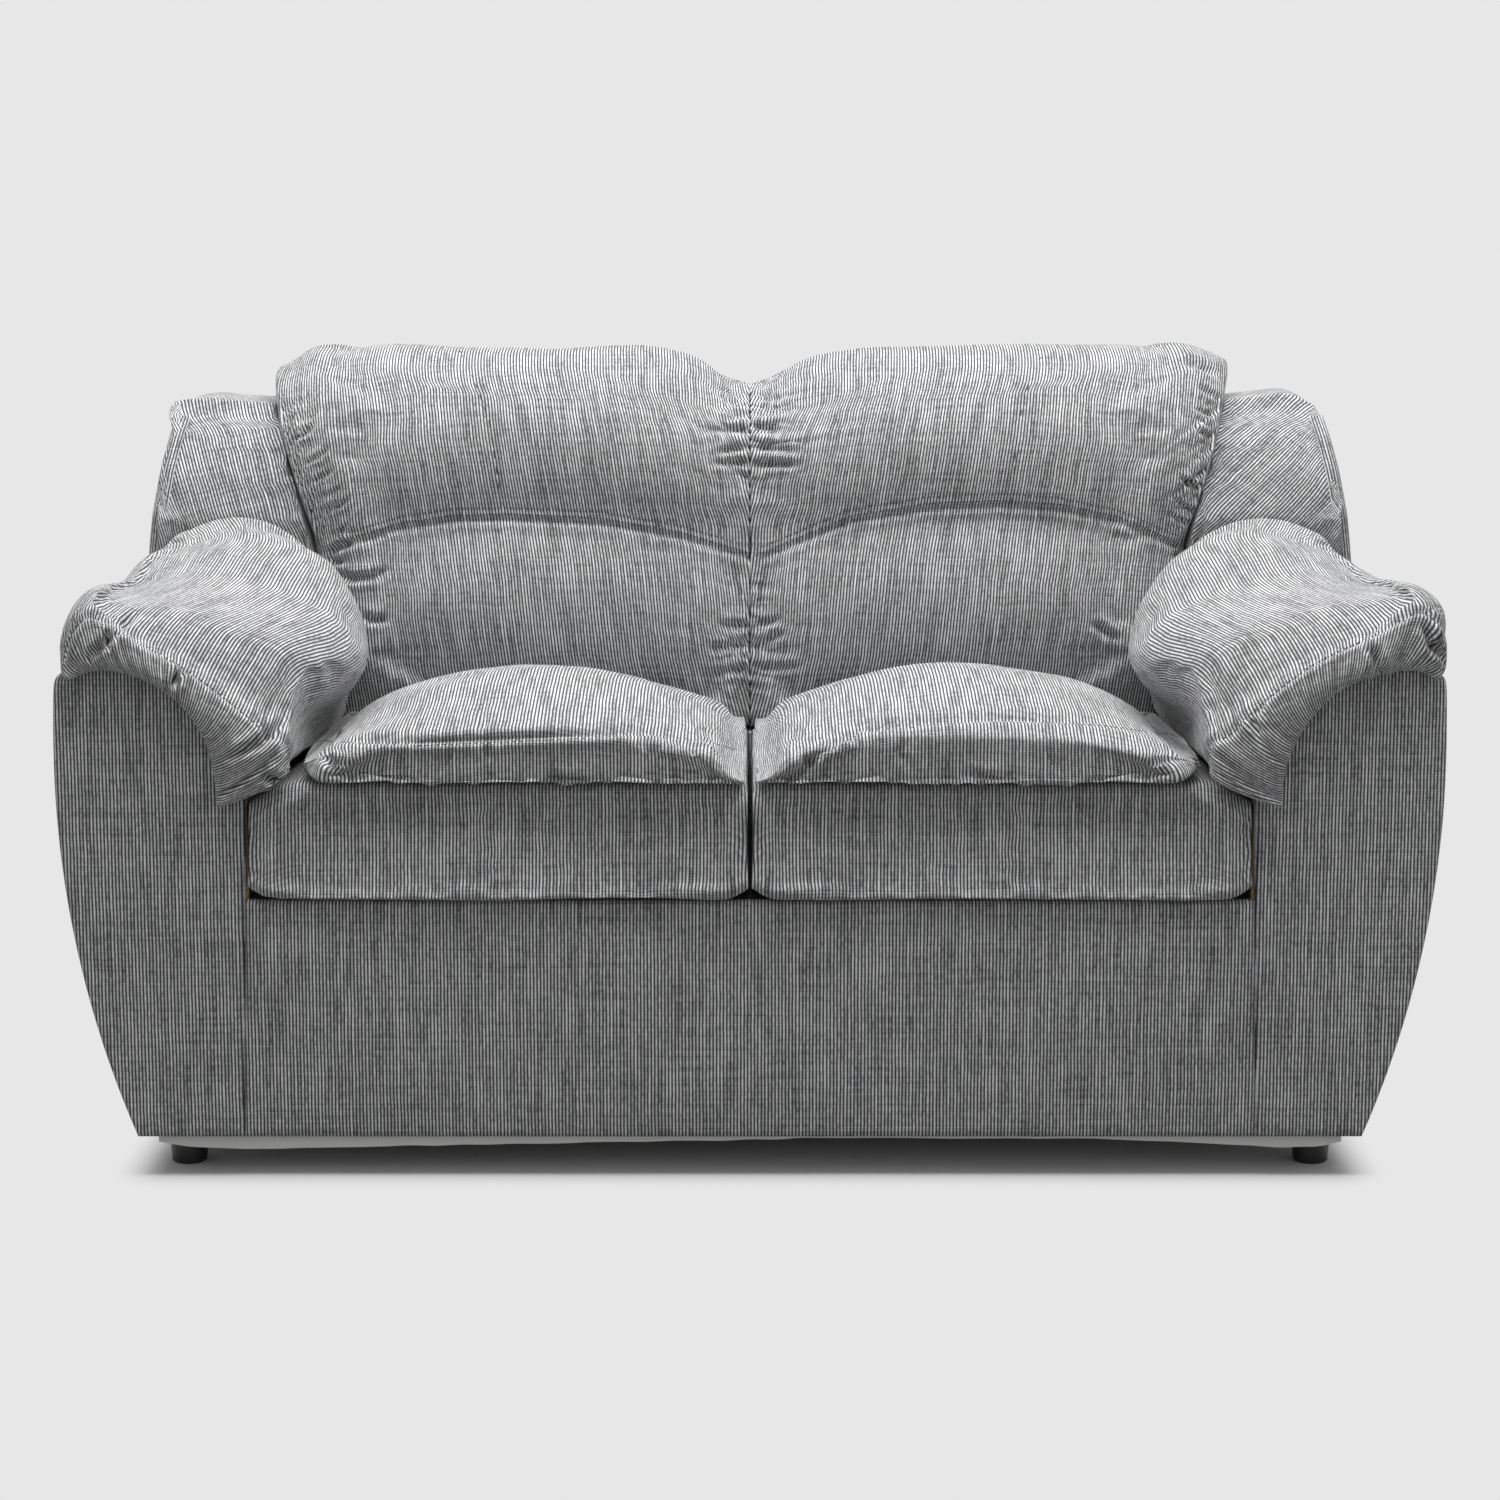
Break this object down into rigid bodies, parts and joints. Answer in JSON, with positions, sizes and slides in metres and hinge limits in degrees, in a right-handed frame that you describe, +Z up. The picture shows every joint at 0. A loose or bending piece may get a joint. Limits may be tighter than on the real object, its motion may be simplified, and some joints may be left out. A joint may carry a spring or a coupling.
{
  "type": "two-seater sofa",
  "caption": "Plump two-seater sofa with bowed flared arms under draped pillows, padded wings, rolled back cushions and loose box seat cushions with pillow tops, on short round feet.",
  "frame": {"origin": "on the floor, under the middle of the sofa", "axes": "+Z up, +X to the right of someone who stands in front of the sofa and looks at it, and the seat faces -Y"},
  "size_m": [1.56, 0.9, 0.9412],
  "materials": {
    "upholstery_weave": "soft striped weave: pale slubby warp lines on a charcoal ground, about 3.9 mm apart, broken by weft dashes",
    "deck_cloth": "plain charcoal lining cloth",
    "dust_cloth": "thin off-white non-woven cloth, slightly sagging",
    "foam": "open-cell upholstery foam",
    "webbing": "woven elastic webbing",
    "spring_steel": "bare spring wire with a light oil film",
    "fastener_steel": "zinc plated",
    "foot_plastic": "moulded, matt, lightly textured",
    "hardboard": "bare tempered hardboard",
    "plywood": "bare plywood with sawn edges",
    "pine": "bare planed pine"
  },
  "bodies": {
    "frame": {"apron_cover": "upholstery_weave", "arm_bolts": "fastener_steel", "arm_bottom_board_left": "pine", "arm_bottom_board_right": "pine", "arm_front_cover_left": "upholstery_weave", "arm_front_cover_right": "upholstery_weave", "arm_front_former_left": "plywood", "arm_front_former_right": "plywood", "arm_inner_board_left": "pine", "arm_inner_board_right": "pine", "arm_inner_cover_left": "upholstery_weave", "arm_inner_cover_right": "upholstery_weave", "arm_pad_left": "upholstery_weave", "arm_pad_right": "upholstery_weave", "arm_rear_former_left": "plywood", "arm_rear_former_right": "plywood", "arm_top_board_left": "plywood", "arm_top_board_right": "plywood", "back_centre_post": "pine", "back_cushion_left": "upholstery_weave", "back_cushion_right": "upholstery_weave", "back_end_post_left": "pine", "back_end_post_right": "pine", "back_lower_rails": "pine", "back_top_rail": "pine", "back_webbing": "webbing", "base_centre_board": "pine", "base_front_board": "pine", "base_rear_board": "pine", "base_side_board_left": "pine", "base_side_board_right": "pine", "corner_blocks": "pine", "dust_cover": "dust_cloth", "foot_front_left": "foot_plastic", "foot_front_right": "foot_plastic", "foot_rear_left": "foot_plastic", "foot_rear_right": "foot_plastic", "foot_screws": "fastener_steel", "front_edge_roll": "deck_cloth", "inside_back_band": "upholstery_weave", "outside_back_cover": "upholstery_weave", "seat_deck_pad": "deck_cloth", "seat_rear_rail": "pine", "seat_springs": "spring_steel", "side_board_left": "hardboard", "side_board_right": "hardboard", "side_cover_left": "upholstery_weave", "side_cover_right": "upholstery_weave", "spring_clips": "fastener_steel", "wing_former_left": "plywood", "wing_former_right": "plywood", "wing_pad_left": "upholstery_weave", "wing_pad_right": "upholstery_weave"},
    "seat_left": {"seat_box_cover_left": "upholstery_weave", "seat_foam_core_left": "foam", "seat_pillow_left": "upholstery_weave"},
    "seat_right": {"seat_box_cover_right": "upholstery_weave", "seat_foam_core_right": "foam", "seat_pillow_right": "upholstery_weave"}
  },
  "joints": [
    {"name": "seat_left_slide", "type": "slide", "parent": "frame", "child": "seat_left", "axis": [0, -1, 0], "range_m": [0, 0.6]},
    {"name": "seat_right_slide", "type": "slide", "parent": "frame", "child": "seat_right", "axis": [0, -1, 0], "range_m": [0, 0.6]}
  ]
}
